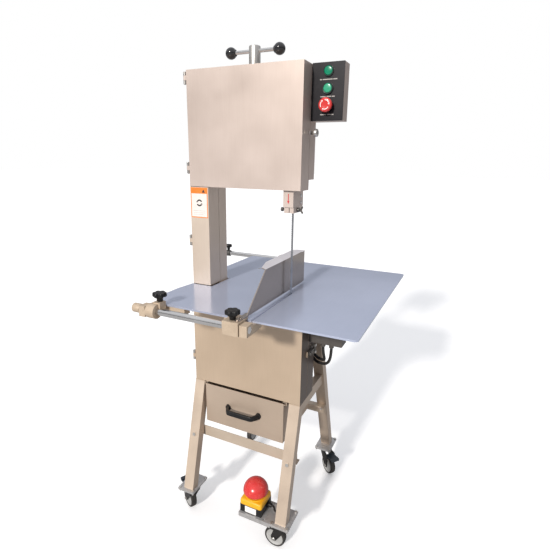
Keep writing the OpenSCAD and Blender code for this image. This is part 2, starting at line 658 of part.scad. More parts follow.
// ---------------------------------------------------------------- drawer
module drawer() at() color(steel) difference() {
  union() {
    bx(draw_x0, draw_x1, -5, 232, draw_z0, draw_z1-4);
    bx(draw_x0, draw_x1, -5, -3, draw_z0, draw_z1);
    bx(draw_x0-5, draw_x1+5, -3.01, 232, draw_z1-6, draw_z1-4);
  }
  bx(draw_x0+1.5, draw_x1-1.5, -3, 230.5, draw_z0+1.5, draw_z1+10);
}
module drawer_handle() at() color(dark) {
  cx = (draw_x0+draw_x1)/2; cz = 440;
  difference() {
    xz_block(cx, cz);
    bx(cx-50, cx+50, -28, 5, cz-20, cz+20);
  }
}
module xz_block(cx, cz) translate([cx, 0, cz-12]) linear_extrude(24)
  polygon([[-69, -5], [-69, -12], [-52, -36], [-44, -40], [44, -40], [52, -36], [69, -12], [69, -5]]);
module runner(x, s) {
  bx(min(x, x+s*2), max(x, x+s*2), 2, 236, draw_z1-8.3, leg_top);
  bx(min(x, x-s*5), max(x, x-s*5), 2, 236, draw_z1-8.3, draw_z1-6.3);
  bx(min(x, x-s*12), max(x, x-s*12), 2, 236, leg_top-1.7, leg_top);
}
module drawer_runners() at() color(steel) {
  runner(draw_x0-6, -1);
  runner(draw_x1+6, 1);
}

// ---------------------------------------------------------------- electrical
tb_x0 = body_x1; tb_x1 = 508; tb_y0 = 66; tb_y1 = 112; tb_z0 = 716; tb_z1 = 800;
module terminal_box() at() color([0.36, 0.34, 0.33]) {
  difference() {
    bx(tb_x0, tb_x1, tb_y0, tb_y1, tb_z0, tb_z1);
    bx(tb_x0+3, tb_x1-3, tb_y0+3, tb_y1+1, tb_z0+3, tb_z1-3);
    for (x = [440, 468]) cyl_z(tb_z0-1, tb_z0+5, x, 89, 16);
  }
  bx(tb_x0, tb_x1, tb_y1-eps, tb_y1+3, tb_z0, tb_z1);
  for (x = [440, 468]) difference() {
    union() {
      cyl_z(tb_z0-16, tb_z0+8, x, 89, 15.8);
      translate([x, 89, tb_z0-6]) cylinder(d=24, h=6, $fn=6);
    }
    cyl_z(tb_z0-20, tb_z0+10, x, 89, 10.2);
  }
}
// leads, each a round cable along a smooth curve
function bez(p, t) = (1-t)*(1-t)*(1-t)*p[0] + 3*(1-t)*(1-t)*t*p[1] + 3*(1-t)*t*t*p[2] + t*t*t*p[3];
module lead(p, r, n) for (i = [0:n-1]) hull() {
  translate(bez(p, i/n)) sphere(r=r, $fn=10);
  translate(bez(p, (i+1)/n)) sphere(r=r, $fn=10);
}
module power_leads() at() color([0.05, 0.05, 0.05]) {
  // from the terminal box down past the leg to the motor
  cyl_z(tb_z0-17, tb_z0+2, 440, 89, 9.8);
  lead([[440, 89, tb_z0-17], [440, 89, tb_z0-61], [444, 142, wheel_lo-57], [408, 150, wheel_lo-54]], 4.9, 8);
  lead([[408, 150, wheel_lo-54], [372, 158, wheel_lo-51], [335, 214, wheel_lo+14], [wheel_x+104, 214, wheel_lo+14]], 4.9, 8);
  cyl_x(wheel_x+88, wheel_x+104, 214, wheel_lo+14, 9.8);
  cyl_z(tb_z0-17, tb_z0+2, 468, 89, 9.8);
  lead([[468, 89, tb_z0-17], [468, 89, tb_z0-66], [447.6, 137.2, wheel_lo-69.7], [408, 146, wheel_lo-68]], 4.9, 8);
  lead([[408, 146, wheel_lo-68], [372, 154, wheel_lo-66.5], [335, 214, wheel_lo-14], [wheel_x+104, 214, wheel_lo-14]], 4.9, 8);
  cyl_x(wheel_x+88, wheel_x+104, 214, wheel_lo-14, 9.8);
  // lead of the foot switch into the hollow leg
  cyl_x(fs_x1-4, fs_x1+15, -46, foot_z+15, 6.8);
  lead([[fs_x1+15, -46, foot_z+15], [fs_x1+32, -46, foot_z+15], [leg_xr-22, -72, 144], [leg_xr+1, -72, 144]], 3.4, 7);
}

// ---------------------------------------------------------------- fasteners
module hexb_y(x, y, z, d) { translate([x, y, z]) rotate([90, 0, 0]) cylinder(d=d, h=4, $fn=6); }
module fasteners() at() color(bright) {
  // leg bolts at the front cross bar, and at the rear one
  for (x = [leg_xl+leg_w/2, leg_xr+leg_w/2]) {
    translate([x, front_leg_y(321)-leg_d/2, 321]) rotate([90-atan((80+leg_d/2)/(leg_top-foot_z)), 0, 0]) cylinder(d=13, h=4, $fn=6);
    hexb_y(x, rear_leg_y(360)-leg_d/2-3, 340, 13);
  }
  // foot plate bolts
  for (cx = [foot_cxl, foot_cxr], cy = [foot_cyf, foot_cyr], sx = [-1, 1], sy = [-1, 1]) {
    translate([cx+sx*27, cy+sy*39.5, foot_z]) cylinder(d=10, h=4, $fn=6);
    cyl_z(cast_top-5, foot_z+eps, cx+sx*27, cy+sy*39.5, 6);
  }
}

head_casing();
column_casing();
body_casing();
table_top();
table_insert();
front_left_leg();
front_right_leg();
rear_left_leg();
rear_right_leg();
cross_bars();
side_rails();
foot_switch_tray();
foot_switch_base();
foot_switch_cover();
foot_stop_mushroom();
control_box();
control_panel();
start_button();
second_button();
panel_stop_button();
hinge_pins();
wheel_carriage();
upper_wheel();
tension_handle();
lower_wheel();
motor();
terminal_box();
power_leads();
saw_blade();
blade_guard();
guide_wing_bolt();
front_rail();
rear_rail();
rail_brackets();
stop_collar();
stop_knob();
fence();
fence_block();
fence_knob();
drawer();
drawer_handle();
drawer_runners();
head_door();
column_door();
body_door();
door_latch_knob();
toggle_latch();
fasteners();
fork(foot_cxl, foot_cyf, fl_a);  // caster_fork_fl
cwheel(foot_cxl, foot_cyf, fl_a);  // caster_wheel_fl
brake(foot_cxl, foot_cyf, fl_a);  // caster_brake_fl
fork(foot_cxr, foot_cyf, fr_a);  // caster_fork_fr
cwheel(foot_cxr, foot_cyf, fr_a);  // caster_wheel_fr
brake(foot_cxr, foot_cyf, fr_a);  // caster_brake_fr
fork(foot_cxl, foot_cyr, rl_a);  // caster_fork_rl
cwheel(foot_cxl, foot_cyr, rl_a);  // caster_wheel_rl
brake(foot_cxl, foot_cyr, rl_a);  // caster_brake_rl
fork(foot_cxr, foot_cyr, rr_a);  // caster_fork_rr
cwheel(foot_cxr, foot_cyr, rr_a);  // caster_wheel_rr
brake(foot_cxr, foot_cyr, rr_a);  // caster_brake_rr
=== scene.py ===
import math
import bpy
import bmesh
from mathutils import Matrix, Vector


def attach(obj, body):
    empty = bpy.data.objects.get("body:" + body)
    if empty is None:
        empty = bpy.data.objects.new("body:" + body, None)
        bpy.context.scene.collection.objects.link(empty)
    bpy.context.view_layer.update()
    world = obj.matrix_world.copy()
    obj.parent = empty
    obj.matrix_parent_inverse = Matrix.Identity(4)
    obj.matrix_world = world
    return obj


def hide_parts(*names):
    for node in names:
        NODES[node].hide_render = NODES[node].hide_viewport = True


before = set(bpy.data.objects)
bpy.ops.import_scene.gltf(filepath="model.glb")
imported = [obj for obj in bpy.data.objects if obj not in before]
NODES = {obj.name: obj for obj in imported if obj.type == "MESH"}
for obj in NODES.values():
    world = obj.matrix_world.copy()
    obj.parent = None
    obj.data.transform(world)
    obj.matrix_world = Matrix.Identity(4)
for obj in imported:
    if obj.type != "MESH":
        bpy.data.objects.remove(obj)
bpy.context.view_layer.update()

OX, OY = -222.0, -118.5
scene = bpy.context.scene
scene.view_settings.view_transform = "Standard"


def P(x, y, z):
    return Vector(((x + OX) / 1000, (y + OY) / 1000, z / 1000))


# ------------------------------------------------------------------ materials
def node(nt, kind, **vals):
    n = nt.nodes.new(kind)
    for k, v in vals.items():
        setattr(n, k, v)
    return n


def material(name, c1, c2, metallic=0.0, rough=(0.4, 0.5), cloud=6.0, grain=(60, 60, 60), grain_amt=0.15,
             bump=0.1, bump_dist=0.0002, coat=0.0, coat_rough=0.1, speck=None, spec=0.5, aniso=0.0, fine=0.0):
    """Clouded base colour, a stretched grain that changes colour, roughness and height, and optional specks."""
    m = bpy.data.materials.new(name)
    m.use_nodes = True
    nt = m.node_tree
    nt.nodes.clear()
    out = node(nt, "ShaderNodeOutputMaterial")
    bsdf = node(nt, "ShaderNodeBsdfPrincipled")
    nt.links.new(bsdf.outputs[0], out.inputs[0])
    tc = node(nt, "ShaderNodeTexCoord")
    big = node(nt, "ShaderNodeTexNoise")
    big.inputs["Scale"].default_value = cloud
    big.inputs["Detail"].default_value = 3
    nt.links.new(tc.outputs["Object"], big.inputs["Vector"])
    mp = node(nt, "ShaderNodeMapping")
    mp.inputs["Scale"].default_value = grain
    nt.links.new(tc.outputs["Object"], mp.inputs["Vector"])
    fineN = node(nt, "ShaderNodeTexNoise")
    fineN.inputs["Scale"].default_value = 1.0
    fineN.inputs["Detail"].default_value = 4
    nt.links.new(mp.outputs[0], fineN.inputs["Vector"])
    mixf = node(nt, "ShaderNodeMix", data_type="FLOAT")
    mixf.inputs[0].default_value = grain_amt
    nt.links.new(big.outputs[0], mixf.inputs[2])
    nt.links.new(fineN.outputs[0], mixf.inputs[3])
    ramp = node(nt, "ShaderNodeValToRGB")
    ramp.color_ramp.elements[0].position = 0.32
    ramp.color_ramp.elements[1].position = 0.68
    ramp.color_ramp.elements[0].color = (*c1, 1)
    ramp.color_ramp.elements[1].color = (*c2, 1)
    nt.links.new(mixf.outputs[0], ramp.inputs[0])
    colour = ramp.outputs[0]
    if speck:
        sc, thr, col = speck
        sp = node(nt, "ShaderNodeTexNoise")
        sp.inputs["Scale"].default_value = sc
        sp.inputs["Detail"].default_value = 5
        nt.links.new(tc.outputs["Object"], sp.inputs["Vector"])
        sr = node(nt, "ShaderNodeValToRGB")
        sr.color_ramp.elements[0].position = thr
        sr.color_ramp.elements[1].position = thr + 0.08
        nt.links.new(sp.outputs[0], sr.inputs[0])
        mx = node(nt, "ShaderNodeMix", data_type="RGBA")
        nt.links.new(sr.outputs[0], mx.inputs[0])
        nt.links.new(colour, mx.inputs[6])
        mx.inputs[7].default_value = (*col, 1)
        colour = mx.outputs[2]
    nt.links.new(colour, bsdf.inputs["Base Color"])
    mr = node(nt, "ShaderNodeMapRange")
    mr.inputs[1].default_value = 0.3
    mr.inputs[2].default_value = 0.7
    mr.inputs[3].default_value = rough[0]
    mr.inputs[4].default_value = rough[1]
    nt.links.new(mixf.outputs[0], mr.inputs[0])
    nt.links.new(mr.outputs[0], bsdf.inputs["Roughness"])
    bsdf.inputs["Metallic"].default_value = metallic
    bsdf.inputs["Specular IOR Level"].default_value = spec
    bsdf.inputs["Coat Weight"].default_value = coat
    bsdf.inputs["Coat Roughness"].default_value = coat_rough
    if bump:
        bp = node(nt, "ShaderNodeBump")
        bp.inputs["Strength"].default_value = bump
        bp.inputs["Distance"].default_value = bump_dist
        nt.links.new(fineN.outputs[0], bp.inputs["Height"])
        nt.links.new(bp.outputs[0], bsdf.inputs["Normal"])
    return m


STEEL_V = material("steel_upright_brush", (0.593, 0.490, 0.432), (0.687, 0.582, 0.525), 0.45, (0.34, 0.48), 5, (900, 900, 14), 0.25, 0.12)
COLUMN = material("steel_column", (0.666, 0.553, 0.451), (0.771, 0.656, 0.553), 0.40, (0.34, 0.48), 5, (900, 900, 14), 0.25, 0.12)
DARKSTEEL = material("dark_fitting", (0.10, 0.095, 0.09), (0.19, 0.18, 0.17), 0.8, (0.28, 0.42), 30, (400, 400, 400), 0.4, 0.12)
BODY = material("steel_body", (0.535, 0.414, 0.299), (0.641, 0.504, 0.376), 0.40, (0.36, 0.50), 4, (900, 900, 14), 0.25, 0.12)
# painted shade: a darker copy of the body steel for the body's right side and back faces, standing in for the shade
# under the table
BODY_PAINTED_SHADE = material("steel_body_painted_shade", (0.103, 0.076, 0.060), (0.133, 0.100, 0.080), 0.40, (0.32, 0.46), 4, (900, 900, 14), 0.25, 0.12)
DRAWER = material("steel_drawer", (0.470, 0.372, 0.289), (0.567, 0.456, 0.362), 0.40, (0.36, 0.50), 4, (14, 900, 900), 0.25, 0.12)
LEG = material("steel_leg", (0.526, 0.424, 0.336), (0.642, 0.528, 0.422), 0.35, (0.36, 0.52), 8, (700, 700, 18), 0.3, 0.14)
BAR = material("steel_bar", (0.528, 0.436, 0.344), (0.625, 0.528, 0.426), 0.35, (0.36, 0.52), 8, (18, 700, 700), 0.3, 0.14)
TABLE = material("table_plate", (0.559, 0.619, 0.793), (0.654, 0.714, 0.903), 0.50, (0.15, 0.22), 3, (500, 10, 500), 0.14, 0.02, 0.0001)
FENCE = material("fence_sheet", (0.371, 0.317, 0.279), (0.456, 0.396, 0.349), 0.75, (0.18, 0.26), 6, (900, 14, 900), 0.2, 0.04)
# painted highlight: a lighter, less metallic copy of the fence sheet for its upward-facing top flange, standing in for
# the light falling on it
FENCE_PAINTED_HIGHLIGHT = material("fence_flange_painted_highlight", (0.713, 0.685, 0.721), (0.821, 0.792, 0.827), 0.15, (0.30, 0.40), 6, (900, 14, 900), 0.2, 0.05)
GREY_PLATE = material("galvanised_plate", (0.448, 0.440, 0.437), (0.627, 0.616, 0.616), 0.6, (0.38, 0.55), 26, (90, 90, 90), 0.5, 0.18, speck=(160, 0.62, (0.33, 0.33, 0.33)))
CHROME = material("turned_chrome", (0.66, 0.65, 0.64), (0.80, 0.79, 0.78), 1.0, (0.10, 0.20), 10, (1200, 60, 60), 0.35, 0.05)
SATIN = material("satin_turned", (0.58, 0.56, 0.53), (0.72, 0.70, 0.67), 0.9, (0.22, 0.34), 10, (900, 900, 900), 0.35, 0.06)
CAST = material("cast_block", (0.490, 0.385, 0.283), (0.601, 0.485, 0.365), 0.12, (0.42, 0.60), 30, (260, 260, 260), 0.5, 0.30, 0.0004, speck=(420, 0.66, (0.40, 0.32, 0.25)))
WHEEL = material("wheel_casting", (0.30, 0.31, 0.32), (0.42, 0.43, 0.44), 0.5, (0.38, 0.55), 20, (220, 220, 220), 0.4, 0.25)
BLADE = material("band_steel", (0.30, 0.31, 0.33), (0.48, 0.49, 0.51), 0.95, (0.22, 0.34), 30, (500, 500, 60), 0.4, 0.08)
MOTOR = material("motor_enamel", (0.10, 0.11, 0.125), (0.15, 0.16, 0.18), 0.1, (0.38, 0.55), 18, (300, 300, 300), 0.4, 0.20)
DARKBOX = material("dark_box", (0.085, 0.075, 0.068), (0.13, 0.118, 0.108), 0.3, (0.40, 0.55), 12, (500, 500, 40), 0.3, 0.14)
PANEL = material("panel_black", (0.006, 0.005, 0.008), (0.013, 0.012, 0.016), 0.0, (0.30, 0.42), 14, (260, 260, 260), 0.4, 0.05, spec=0.3)
BLACK = material("black_plastic", (0.006, 0.006, 0.007), (0.014, 0.014, 0.015), 0.0, (0.30, 0.46), 40, (900, 900, 900), 0.5, 0.16, 0.0002, spec=0.35)
GLOSSBLACK = material("black_ball", (0.008, 0.008, 0.010), (0.018, 0.018, 0.020), 0.0, (0.10, 0.20), 40, (500, 500, 500), 0.4, 0.03, coat=0.6, coat_rough=0.05)
RUBBER = material("lead_sheath", (0.014, 0.013, 0.013), (0.028, 0.027, 0.026), 0.0, (0.50, 0.66), 50, (600, 600, 600), 0.5, 0.2)
TREAD = material("caster_tread", (0.018, 0.016, 0.015), (0.050, 0.046, 0.043), 0.0, (0.48, 0.70), 60, (500, 500, 500), 0.5, 0.3, speck=(240, 0.66, (0.16, 0.15, 0.14)))
HUB = material("caster_hub", (0.42, 0.42, 0.41), (0.58, 0.58, 0.57), 0.15, (0.36, 0.5), 30, (400, 400, 400), 0.4, 0.12, speck=(260, 0.68, (0.24, 0.23, 0.22)))
FORK = material("fork_black", (0.014, 0.013, 0.013), (0.034, 0.031, 0.030), 0.35, (0.32, 0.48), 40, (400, 400, 400), 0.4, 0.14, speck=(300, 0.70, (0.12, 0.10, 0.09)))
PEDAL = material("pedal_plastic", (0.012, 0.018, 0.026), (0.026, 0.036, 0.050), 0.0, (0.30, 0.46), 40, (700, 700, 700), 0.4, 0.14)
RED = material("red_dome", (0.62, 0.030, 0.028), (0.76, 0.060, 0.055), 0.0, (0.20, 0.34), 22, (220, 220, 220), 0.35, 0.05, coat=0.35, coat_rough=0.12, speck=(70, 0.66, (0.80, 0.16, 0.14)))
YELLOW = material("yellow_cover", (0.84, 0.42, 0.010), (0.95, 0.52, 0.020), 0.0, (0.30, 0.44), 26, (300, 300, 300), 0.35, 0.06, coat=0.15, speck=(120, 0.68, (0.62, 0.34, 0.02)))
GREEN1 = material("green_cap", (0.0, 0.20, 0.10), (0.004, 0.30, 0.16), 0.0, (0.16, 0.28), 60, (400, 400, 400), 0.35, 0.04, coat=0.5)
GREEN2 = material("light_green_cap", (0.02, 0.32, 0.17), (0.06, 0.44, 0.26), 0.0, (0.18, 0.30), 60, (400, 400, 400), 0.35, 0.04, coat=0.5)
BEZEL = material("button_bezel", (0.012, 0.05, 0.035), (0.02, 0.075, 0.055), 0.2, (0.24, 0.36), 50, (500, 500, 500), 0.4, 0.05)
WHITE = material("white_print", (0.842, 0.836, 0.818), (0.950, 0.946, 0.941), 0.0, (0.40, 0.52), 40, (300, 300, 300), 0.3, 0.03)
PAPER = material("label_face", (0.80, 0.74, 0.70), (0.90, 0.85, 0.81), 0.0, (0.34, 0.46), 20, (300, 300, 300), 0.3, 0.03, coat=0.2)
ORANGE = material("orange_print", (0.88, 0.21, 0.025), (0.98, 0.28, 0.045), 0.0, (0.34, 0.46), 40, (300, 300, 300), 0.3, 0.03, coat=0.2)
INK = material("dark_print", (0.03, 0.03, 0.03), (0.06, 0.055, 0.05), 0.0, (0.4, 0.5), 40, (300, 300, 300), 0.3, 0.03)
GREYINK = material("grey_print", (0.40, 0.37, 0.35), (0.52, 0.49, 0.46), 0.0, (0.4, 0.5), 40, (300, 300, 300), 0.3, 0.03)
REDINK = material("red_print", (0.55, 0.02, 0.025), (0.68, 0.035, 0.04), 0.0, (0.4, 0.5), 40, (300, 300, 300), 0.3, 0.03)
PLASTIC_W = material("insert_plastic", (0.66, 0.66, 0.64), (0.78, 0.78, 0.76), 0.0, (0.36, 0.5), 40, (500, 500, 500), 0.4, 0.1)


# ------------------------------------------------------------------ CAD nodes: finish and softened edges
# nodes whose faces carry a second finish, and the rule that picks those faces; the fence's upward faces get a painted
# highlight, and the body door's right side and the casing's right side and back get painted shade
TWO = {
    "front_left_leg": (GREY_PLATE, lambda c, n: c.z < 0.1225), "front_right_leg": (GREY_PLATE, lambda c, n: c.z < 0.1225),
    "rear_left_leg": (GREY_PLATE, lambda c, n: c.z < 0.1225), "rear_right_leg": (GREY_PLATE, lambda c, n: c.z < 0.1225),
    # painted highlight on the fence's upward faces
    "fence": (FENCE_PAINTED_HIGHLIGHT, lambda c, n: n.z > 0.9 and c.z > 0.97),
    "blade_guard": (DARKSTEEL, lambda c, n: c.x < (321.5 + OX) / 1000),
    # painted shade on the body's right-facing (and the casing's rear-facing) faces
    "body_door": (BODY_PAINTED_SHADE, lambda c, n: n.x > 0.9),
    "body_casing": (BODY_PAINTED_SHADE, lambda c, n: n.x > 0.9 or n.y > 0.9),
}


def finish_node(name, mat, bevel=0.6, seg=2, angle=40):
    o = NODES[name]
    o.data.materials.clear()
    o.data.materials.append(mat)
    second = TWO.get(name)
    if second:
        o.data.materials.append(second[0])
    for a in ("custom_normal",):
        if a in o.data.attributes:
            o.data.attributes.remove(o.data.attributes[a])
    for p in o.data.polygons:
        p.use_smooth = True
        p.material_index = 1 if second and second[1](o.matrix_world @ p.center, p.normal) else 0
    w = o.modifiers.new("weld", "WELD")
    w.merge_threshold = 0.00001
    if bevel:
        b = o.modifiers.new("edge", "BEVEL")
        b.width = bevel / 1000
        b.segments = seg
        b.limit_method = "ANGLE"
        b.angle_limit = math.radians(angle)
        b.use_clamp_overlap = True
        b.harden_normals = False
    wn = o.modifiers.new("normals", "WEIGHTED_NORMAL")
    wn.keep_sharp = True
    wn.weight = 100
    if not bevel:
        o.modifiers.remove(wn)
        es = o.modifiers.new("split", "EDGE_SPLIT")
        es.split_angle = math.radians(35)
    return o


FIN = {
    "head_casing": (STEEL_V, 0.5), "column_casing": (COLUMN, 0.5), "body_casing": (BODY, 0.5),
    "table_top": (TABLE, 0.8), "table_insert": (TABLE, 0.2),
    "front_left_leg": (LEG, 0.8), "front_right_leg": (LEG, 0.8), "rear_left_leg": (LEG, 0.8), "rear_right_leg": (LEG, 0.8),
    "cross_bars": (BAR, 0.6), "side_rails": (LEG, 0.6), "foot_switch_tray": (GREY_PLATE, 0.5),
    "foot_switch_base": (BLACK, 0.8), "control_box": (STEEL_V, 0.5), "control_panel": (PANEL, 0.4),
    "hinge_pins": (SATIN, 0.3), "wheel_carriage": (SATIN, 0.4), "upper_wheel": (WHEEL, 0.5), "lower_wheel": (WHEEL, 0.5),
    "motor": (MOTOR, 0.6), "terminal_box": (DARKBOX, 0.8),
    "blade_guard": (STEEL_V, 0.4), "rail_brackets": (CAST, 2.6), "stop_collar": (CAST, 1.8),
    "fence": (FENCE, 0.4), "fence_block": (CAST, 2.4), "drawer": (DRAWER, 0.4), "drawer_runners": (LEG, 0.3),
    "head_door": (STEEL_V, 0.8), "column_door": (COLUMN, 0.8), "body_door": (BODY, 0.8),
    "fasteners": (SATIN, 0.3),
}
for n, (m, b) in FIN.items():
    finish_node(n, m, b)
for c in ("fl", "fr", "rl", "rr"):
    finish_node("caster_fork_" + c, FORK, 0.5)
    finish_node("caster_brake_" + c, PEDAL, 1.6, 3)


# ------------------------------------------------------------------ builders
def add(name, bm, mat, body, reps=(), bevel=0.0, seg=2, angle=35, smooth=True, subsurf=0):
    bmesh.ops.recalc_face_normals(bm, faces=bm.faces)
    me = bpy.data.meshes.new(name)
    bm.to_mesh(me)
    bm.free()
    for p in me.polygons:
        p.use_smooth = smooth
    o = bpy.data.objects.new(name, me)
    scene.collection.objects.link(o)
    me.materials.append(mat)
    if bevel:
        b = o.modifiers.new("edge", "BEVEL")
        b.width = bevel / 1000
        b.segments = seg
        b.limit_method = "ANGLE"
        b.angle_limit = math.radians(angle)
        w = o.modifiers.new("normals", "WEIGHTED_NORMAL")
        w.keep_sharp = True
    if subsurf:
        s = o.modifiers.new("sub", "SUBSURF")
        s.levels = s.render_levels = subsurf
    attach(o, body)
    if reps:
        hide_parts(*reps)
    return o


def frame_from(axis):
    """Two unit vectors across an axis."""
    a = Vector(axis).normalized()
    u = Vector((0, 0, 1)).cross(a)
    if u.length < 0.1:
        u = Vector((1, 0, 0))
    u.normalize()
    return a, u, a.cross(u)


def lathe_bm(profile, base, axis, seg=64, bm=None):
    """profile: (radius, height along axis) in mm, open profile closed on the axis; base in design mm."""
    bm = bm or bmesh.new()
    a, u, v = frame_from(axis)
    base = Vector(base)
    rings = []
    for r, h in profile:
        c = base + a * h
        if r < 1e-6:
            rings.append([bm.verts.new(P(*c))])
        else:
            rings.append([bm.verts.new(P(*(c + (u * math.cos(2 * math.pi * i / seg) + v * math.sin(2 * math.pi * i / seg)) * r))) for i in range(seg)])
    for p, q in zip(rings, rings[1:]):
        if len(p) == 1 and len(q) == 1:
            continue
        for i in range(seg):
            j = (i + 1) % seg
            if len(p) == 1:
                bm.faces.new((p[0], q[j], q[i]))
            elif len(q) == 1:
                bm.faces.new((p[i], p[j], q[0]))
            else:
                bm.faces.new((p[i], p[j], q[j], q[i]))
    return bm


def lathe(name, profile, base, axis, mat, body, reps=(), seg=64):
    o = add(name, lathe_bm(profile, base, axis, seg), mat, body, reps)
    es = o.modifiers.new("split", "EDGE_SPLIT")
    es.split_angle = math.radians(40)
    return o


def prism_y(name, pts, y0, y1, mat, body, reps=(), bevel=0.0):
    """Outline in design X and Z, from y0 to y1."""
    bm = bmesh.new()
    f = [bm.verts.new(P(x, y0, z)) for x, z in pts]
    b = [bm.verts.new(P(x, y1, z)) for x, z in pts]
    bm.faces.new(f)
    bm.faces.new(list(reversed(b)))
    for i in range(len(pts)):
        j = (i + 1) % len(pts)
        bm.faces.new((f[j], f[i], b[i], b[j]))
    return add(name, bm, mat, body, reps, bevel=bevel, smooth=False)


def box_bm(x0, x1, y0, y1, z0, z1, bm=None):
    bm = bm or bmesh.new()
    vs = [bm.verts.new(P(x, y, z)) for x in (x0, x1) for y in (y0, y1) for z in (z0, z1)]
    for f in ((0, 1, 3, 2), (4, 6, 7, 5), (0, 4, 5, 1), (2, 3, 7, 6), (0, 2, 6, 4), (1, 5, 7, 3)):
        bm.faces.new([vs[i] for i in f])
    return bm


def arc(cx, cz, r0, r1, a0, a1, n=14):
    pts = [(cx + r1 * math.cos(math.radians(a0 + (a1 - a0) * i / n)), cz + r1 * math.sin(math.radians(a0 + (a1 - a0) * i / n))) for i in range(n + 1)]
    pts += [(cx + r0 * math.cos(math.radians(a1 + (a0 - a1) * i / n)), cz + r0 * math.sin(math.radians(a1 + (a0 - a1) * i / n))) for i in range(n + 1)]
    return pts


# ------------------------------------------------------------------ tension handle
lathe("tension_hub", [(0, -216), (6, -216), (6, 0.6), (19, 0.6), (20, 1.6), (20, 9), (19.2, 9.8), (17, 10.2), (17, 62), (16.2, 65), (14, 66), (0, 66)],
      (190, 83, 1536), (0, 0, 1), SATIN, "tension", ("tension_handle",))
lathe("tension_arm", [(0, -66), (5.5, -66), (5.5, 66), (0, 66)], (190, 83, 1588), (1, 0, 0), CHROME, "tension", seg=32)
for s, nm in ((-1, "left"), (1, "right")):
    prof = [(0, 0), (7, 0), (9.5, 1.2)] + [(17 * math.sin(math.radians(t)), 17 - 17 * math.cos(math.radians(t))) for t in range(36, 180, 8)] + [(0, 34)]
    lathe("tension_ball_" + nm, prof, (190 + s * 63, 83, 1588), (s, 0, 0), GLOSSBLACK, "tension", seg=48)


# ------------------------------------------------------------------ star knobs
def star(name, x, y, z, body, node_name, neck):
    """Six-lobed grip on a tapering neck and a bright screw."""
    bm = bmesh.new()
    n = 96
    prof = [(0.0, 0.6), (0.62, 0.6), (0.90, 0.0), (0.985, 1.6), (1.0, 4.0), (1.0, 8.6), (0.975, 11.2), (0.90, 12.5), (0.72, 13.0), (0.50, 12.6), (0.0, 12.3)]
    rings = []
    for k, h in prof:
        if k == 0:
            rings.append([bm.verts.new(P(x, y, z + h))])
            continue
        ring = []
        for i in range(n):
            t = 2 * math.pi * i / n
            lobe = 0.5 - 0.5 * math.cos(6 * t)
            r = 20.4 * k - 4.6 * (1 - lobe) ** 1.6 * k ** 2
            ring.append(bm.verts.new(P(x + r * math.cos(t), y + r * math.sin(t), z + h)))
        rings.append(ring)
    for p, q in zip(rings, rings[1:]):
        for i in range(n):
            j = (i + 1) % n
            if len(p) == 1:
                bm.faces.new((p[0], q[j], q[i]))
            elif len(q) == 1:
                bm.faces.new((p[i], p[j], q[0]))
            else:
                bm.faces.new((p[i], p[j], q[j], q[i]))
    o = add(name + "_head", bm, BLACK, body, (node_name,))
    lathe(name + "_neck", [(0, 0), (7.6, 0), (8.2, 0.6), (9.2, 7), (10.6, 13.2), (13.5, 15.4), (0, 15.4)], (x, y, z - 14), (0, 0, 1), BLACK, body, seg=48)
    lathe(name + "_screw", [(0, 0), (4, 0), (4, neck + 1), (0, neck + 1)], (x, y, z - 14 - neck), (0, 0, 1), CHROME, body, seg=24)
    return o


star("stop_grip", 50, -228, 851.2 + 36 + 14, "collar_knob", "stop_knob", 36)
star("fence_grip", 302, -248, 863 + 10.2 + 10.2 + 14, "fence_knob", "fence_knob", 10.2)

# ------------------------------------------------------------------ rods: front one with its cast end cap, rear one with its clamp ring and grip
lathe("front_rod", [(0, 0), (9.4, 0), (10, 0.6), (10, 355.4), (9.4, 356), (0, 356)], (-4, -248, 863), (1, 0, 0), CHROME, "frame", ("front_rail",), 72)
lathe("front_rod_cap", [(0, 0), (11.4, 0), (12.9, 0.8), (13.5, 2.4), (13.5, 24.6), (12.9, 26.0), (10.1, 26.4)], (-28, -248, 863), (1, 0, 0), CAST, "frame", seg=72)
lathe("rear_rod", [(0, 0), (8.4, 0), (9, 0.6), (9, 355.4), (8.4, 356), (0, 356)], (-178, 487, 871), (1, 0, 0), CHROME, "frame", ("rear_rail",), 64)
lathe("rear_ring", [(9.1, 0), (12.4, 0), (13.5, 1.2), (13.5, 18.8), (12.4, 20), (9.1, 20)], (-166, 487, 871), (1, 0, 0), DARKSTEEL, "frame", seg=64)
lathe("rear_grip_neck", [(0, 0), (5.9, 0), (5.9, 8.8), (7.4, 9.4), (7.5, 16), (0, 16)], (-156, 487, 882), (0, 0, 1), BLACK, "frame", seg=40)
lathe("rear_grip", [(0, 0), (11, 0), (14.2, 1.2), (15, 3), (15, 9.6), (14.2, 11.6), (11, 12.8), (0, 12.9)], (-156, 487, 898), (0, 0, 1), BLACK, "frame", seg=48)

# ------------------------------------------------------------------ push buttons
def button(name, y_front, r, depth, z, mat, body, node_name):
    prof = [(0, 0), (r - 3.2, 0.1), (r - 1.6, 0.5), (r - 0.5, 1.4), (r, 2.8), (r, depth), (11, depth + 0.05), (11, 84 - y_front), (0, 84 - y_front)]
    return lathe(name, prof, (427.5, y_front, z), (0, 1, 0), mat, body, (node_name,))


